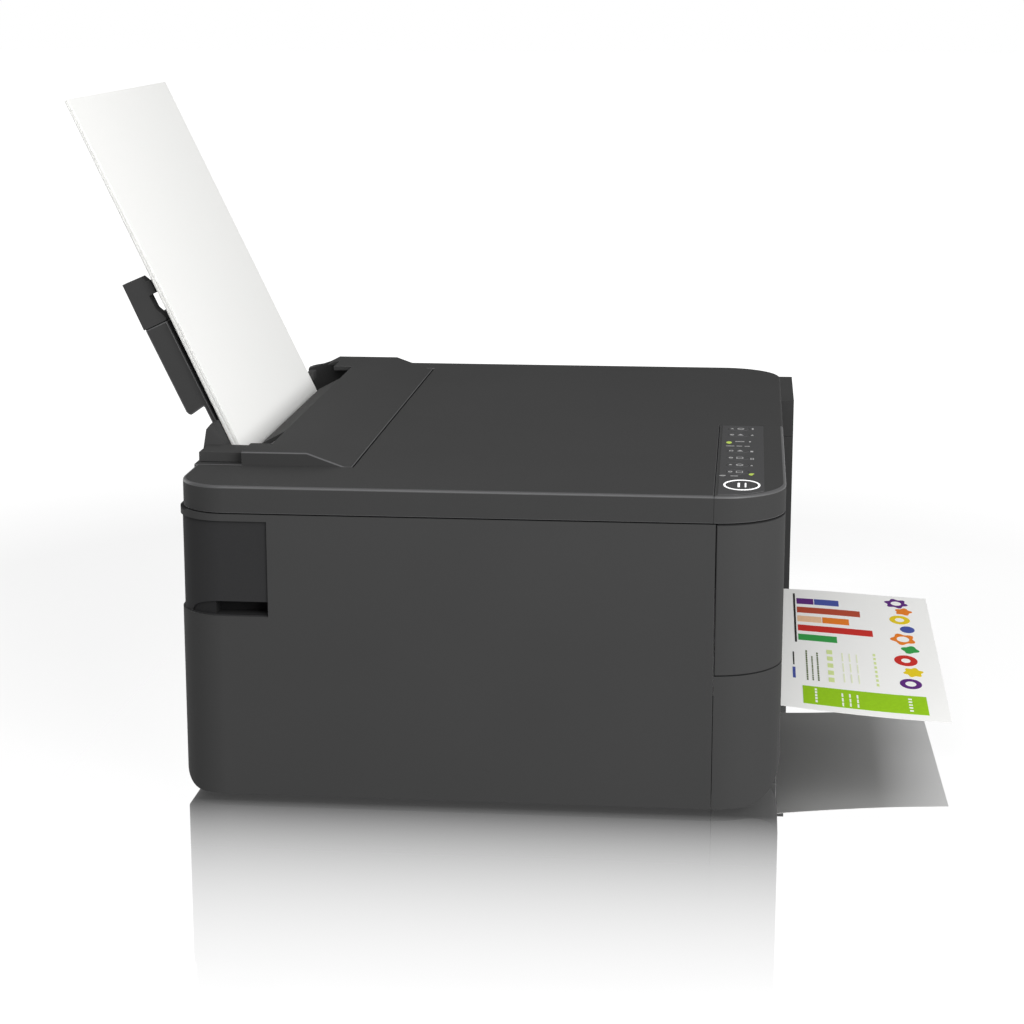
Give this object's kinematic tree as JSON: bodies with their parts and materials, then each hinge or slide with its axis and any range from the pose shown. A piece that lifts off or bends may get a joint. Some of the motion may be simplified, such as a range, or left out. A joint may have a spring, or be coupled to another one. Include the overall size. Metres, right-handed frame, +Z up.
{
  "type": "inkjet printer",
  "caption": "Desktop inkjet printer with flatbed scanner, rear paper feed, sheet output and a side ink tank unit.",
  "frame": {"origin": "on the floor under the centre of the whole object, ink tank unit included", "axes": "+Z up; -Y is the front, where sheets come out; +X is to the right, the side of the ink tank unit"},
  "size_m": [0.486, 0.4608, 0.3417],
  "materials": {
    "housing": "fine moulded texture",
    "dark": "plain",
    "rubber": "plain",
    "steel": "rolled sheet",
    "zinc": "plain",
    "white_foam": "plain",
    "scan_glass": "polished",
    "panel": "plain",
    "lamp": "plain",
    "circuit": "plain",
    "clear_tank": "plain",
    "nylon": "plain",
    "paper": "uncoated copy paper",
    "tube": "plain",
    "gloss_black": "plain"
  },
  "bodies": {
    "printer": {"base_tray": "dark", "rubber_feet": "rubber", "housing_screws": "zinc", "outer_housing": "housing", "front_upper_shell": "housing", "front_lower_shell": "housing", "hinge_pins": "steel", "feeder_hump": "housing", "feeder_frame": "dark", "right_edge_guide": "housing", "chassis": "steel", "carriage_rod": "steel", "platen": "dark", "star_wheel_bar": "dark", "maintenance_station": "dark", "main_board": "circuit", "power_supply": "dark", "power_inlet": "dark", "usb_port": "steel", "carriage_motor": "zinc", "feed_motor": "zinc", "timing_belt": "rubber", "exit_belt": "rubber", "ink_tubes": "tube", "tank_case": "housing", "ink_tanks": "clear_tank"},
    "scanner": {"scanner_frame": "dark", "scan_glass": "scan_glass", "panel_housing": "housing", "panel_overlay": "panel", "panel_lights": "lamp"},
    "scan_bar": {"scan_bar": "gloss_black"},
    "power_key": {"power_key": "panel"},
    "key_1": {"key_1": "panel"},
    "key_2": {"key_2": "panel"},
    "key_3": {"key_3": "panel"},
    "key_4": {"key_4": "panel"},
    "key_5": {"key_5": "panel"},
    "key_6": {"key_6": "panel"},
    "cover": {"document_cover": "housing", "document_mat": "white_foam"},
    "support": {"paper_support": "housing"},
    "support_head": {"support_head": "housing"},
    "left_guide": {"left_edge_guide": "housing"},
    "hopper": {"hopper_plate": "dark"},
    "pickup": {"pickup_roller": "rubber"},
    "carriage": {"print_carriage": "gloss_black"},
    "drive_pulley": {"drive_pulley": "nylon"},
    "idler_pulley": {"idler_pulley": "nylon"},
    "feed_roller": {"feed_roller": "steel"},
    "exit_roller": {"exit_roller": "rubber"},
    "tray": {"output_tray": "housing"},
    "tray_extension": {"tray_extension": "housing"},
    "tank_cover": {"tank_cover": "housing"},
    "tank_cap_1": {"tank_cap_1": "dark"},
    "tank_cap_2": {"tank_cap_2": "dark"},
    "tank_cap_3": {"tank_cap_3": "dark"},
    "tank_cap_4": {"tank_cap_4": "dark"},
    "paper_stack": {"paper_stack": "paper"},
    "printed_page": {"printed_page": "paper"}
  },
  "joints": [
    {"name": "scanner_hinge", "type": "hinge", "parent": "printer", "child": "scanner", "pos_m": [-0.048, 0.156, 0.1505], "axis": [-1, 0, 0], "range_deg": [0, 20]},
    {"name": "cover_hinge", "type": "hinge", "parent": "scanner", "child": "cover", "pos_m": [-0.048, 0.156, 0.1505], "axis": [-1, 0, 0], "range_deg": [0, 70]},
    {"name": "scan_bar_slide", "type": "slide", "parent": "scanner", "child": "scan_bar", "axis": [1, 0, 0], "range_m": [0, 0.3]},
    {"name": "power_key_press", "type": "slide", "parent": "scanner", "child": "power_key", "axis": [0, 0, 1], "range_m": [-0.0008, 0], "stiffness_N_per_m": 300, "springref_m": 0.001},
    {"name": "key_1_press", "type": "slide", "parent": "scanner", "child": "key_1", "axis": [0, 0, 1], "range_m": [-0.0008, 0], "stiffness_N_per_m": 300, "springref_m": 0.001},
    {"name": "key_2_press", "type": "slide", "parent": "scanner", "child": "key_2", "axis": [0, 0, 1], "range_m": [-0.0008, 0], "stiffness_N_per_m": 300, "springref_m": 0.001},
    {"name": "key_3_press", "type": "slide", "parent": "scanner", "child": "key_3", "axis": [0, 0, 1], "range_m": [-0.0008, 0], "stiffness_N_per_m": 300, "springref_m": 0.001},
    {"name": "key_4_press", "type": "slide", "parent": "scanner", "child": "key_4", "axis": [0, 0, 1], "range_m": [-0.0008, 0], "stiffness_N_per_m": 300, "springref_m": 0.001},
    {"name": "key_5_press", "type": "slide", "parent": "scanner", "child": "key_5", "axis": [0, 0, 1], "range_m": [-0.0008, 0], "stiffness_N_per_m": 300, "springref_m": 0.001},
    {"name": "key_6_press", "type": "slide", "parent": "scanner", "child": "key_6", "axis": [0, 0, 1], "range_m": [-0.0008, 0], "stiffness_N_per_m": 300, "springref_m": 0.001},
    {"name": "support_slide", "type": "slide", "parent": "printer", "child": "support", "axis": [0, -0.4305, -0.9026], "range_m": [0, 0.036]},
    {"name": "support_head_slide", "type": "slide", "parent": "support", "child": "support_head", "axis": [0, 0.4305, 0.9026], "range_m": [0, 0.05]},
    {"name": "left_guide_slide", "type": "slide", "parent": "printer", "child": "left_guide", "axis": [-1, 0, 0], "range_m": [0, 0.005]},
    {"name": "hopper_hinge", "type": "hinge", "parent": "printer", "child": "hopper", "pos_m": [-0.048, 0.12512, 0.1043], "axis": [1, 0, 0], "range_deg": [0, 4], "stiffness_Nm_per_rad": 0.6, "springref_deg": -17.19},
    {"name": "pickup_turn", "type": "hinge", "parent": "printer", "child": "pickup", "pos_m": [-0.048, 0.09331, 0.09067], "axis": [1, 0, 0], "continuous": true},
    {"name": "carriage_slide", "type": "slide", "parent": "printer", "child": "carriage", "axis": [-1, 0, 0], "range_m": [0, 0.215]},
    {"name": "drive_pulley_turn", "type": "hinge", "parent": "printer", "child": "drive_pulley", "pos_m": [0.1205, 0.034, 0.099], "axis": [0, 0, 1], "range_deg": [-1700, 1700]},
    {"name": "idler_pulley_turn", "type": "hinge", "parent": "printer", "child": "idler_pulley", "pos_m": [-0.188, 0.034, 0.099], "axis": [0, 0, 1], "range_deg": [-1700, 1700]},
    {"name": "feed_roller_turn", "type": "hinge", "parent": "printer", "child": "feed_roller", "pos_m": [-0.048, 0.055, 0.0325], "axis": [1, 0, 0], "continuous": true},
    {"name": "exit_roller_turn", "type": "hinge", "parent": "printer", "child": "exit_roller", "pos_m": [-0.048, -0.04, 0.0325], "axis": [1, 0, 0], "continuous": true},
    {"name": "tray_slide", "type": "slide", "parent": "printer", "child": "tray", "axis": [0, -1, 0], "range_m": [0, 0.1]},
    {"name": "tray_extension_slide", "type": "slide", "parent": "tray", "child": "tray_extension", "axis": [0, -1, 0], "range_m": [0, 0.08]},
    {"name": "tank_cover_hinge", "type": "hinge", "parent": "printer", "child": "tank_cover", "pos_m": [0.196, 0.0601, 0.1208], "axis": [-1, 0, 0], "range_deg": [0, 85]},
    {"name": "tank_cap_1_lift", "type": "slide", "parent": "printer", "child": "tank_cap_1", "axis": [0, 0, 1], "range_m": [0, 0.009]},
    {"name": "tank_cap_2_lift", "type": "slide", "parent": "printer", "child": "tank_cap_2", "axis": [0, 0, 1], "range_m": [0, 0.009]},
    {"name": "tank_cap_3_lift", "type": "slide", "parent": "printer", "child": "tank_cap_3", "axis": [0, 0, 1], "range_m": [0, 0.009]},
    {"name": "tank_cap_4_lift", "type": "slide", "parent": "printer", "child": "tank_cap_4", "axis": [0, 0, 1], "range_m": [0, 0.009]},
    {"name": "paper_stack_lift", "type": "slide", "parent": "printer", "child": "paper_stack", "axis": [0, 0.4305, 0.9026], "range_m": [0, 0.2]},
    {"name": "printed_page_exit", "type": "slide", "parent": "printer", "child": "printed_page", "axis": [0, -1, 0], "range_m": [0, 0.19]}
  ],
  "couplings": [
    {"joint": "drive_pulley_turn", "follows": "carriage_slide", "rad_per_m": 126.58},
    {"joint": "idler_pulley_turn", "follows": "carriage_slide", "rad_per_m": 126.58},
    {"joint": "exit_roller_turn", "follows": "feed_roller_turn", "ratio": 1}
  ]
}
